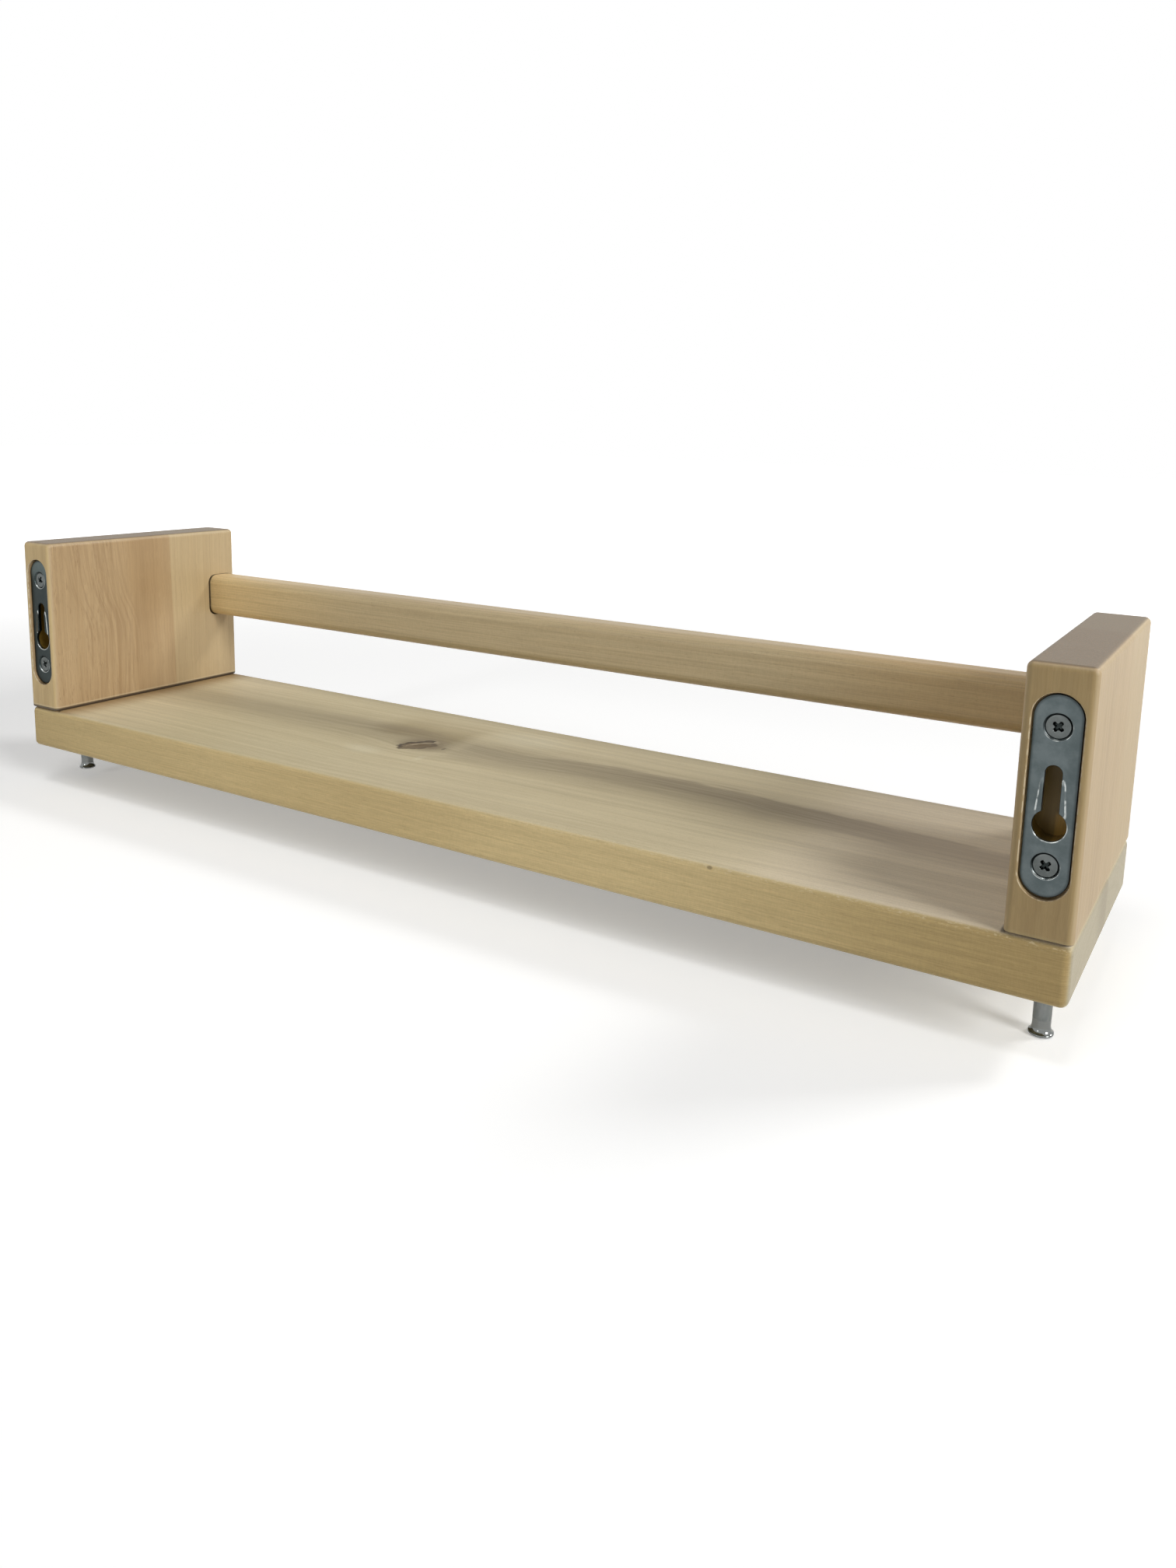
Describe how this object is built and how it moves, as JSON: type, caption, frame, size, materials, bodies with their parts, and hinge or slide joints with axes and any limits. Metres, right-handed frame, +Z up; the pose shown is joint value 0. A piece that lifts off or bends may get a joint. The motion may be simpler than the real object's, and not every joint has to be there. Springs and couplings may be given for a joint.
{
  "type": "wall shelf",
  "caption": "Solid wood wall shelf with end panels, a front guard rail, keyhole hanger plates let into the rear edges and flared chrome pegs under the board.",
  "frame": {"origin": "middle of the board's rear face, in the plane of the wall", "axes": "+X along the shelf, to the right when it is seen from the room; +Y towards the wall; +Z up"},
  "size_m": [0.565, 0.132, 0.1408],
  "materials": {
    "board_wood": "smooth sanded and oiled, open fine pores, one knot in the top",
    "panel_wood": "smooth sanded and oiled, upright grain",
    "rail_wood": "smooth sanded and oiled, straight grain",
    "zinc_plate": "blue-grey zinc plating, slightly dulled",
    "zinc_screw": "zinc plating",
    "chrome_peg": "polished",
    "dowel_wood": "plain hardwood"
  },
  "bodies": {
    "root": {"shelf_board": "board_wood", "left_end_panel": "panel_wood", "right_end_panel": "panel_wood", "front_rail": "rail_wood", "left_hanger_plate": "zinc_plate", "right_hanger_plate": "zinc_plate", "left_upper_hanger_screw": "zinc_screw", "left_lower_hanger_screw": "zinc_screw", "right_upper_hanger_screw": "zinc_screw", "right_lower_hanger_screw": "zinc_screw", "left_underside_peg": "chrome_peg", "right_underside_peg": "chrome_peg", "left_rear_base_screw": "zinc_screw", "left_front_base_screw": "zinc_screw", "right_rear_base_screw": "zinc_screw", "right_front_base_screw": "zinc_screw", "left_base_dowel": "dowel_wood", "right_base_dowel": "dowel_wood"}
  },
  "joints": []
}
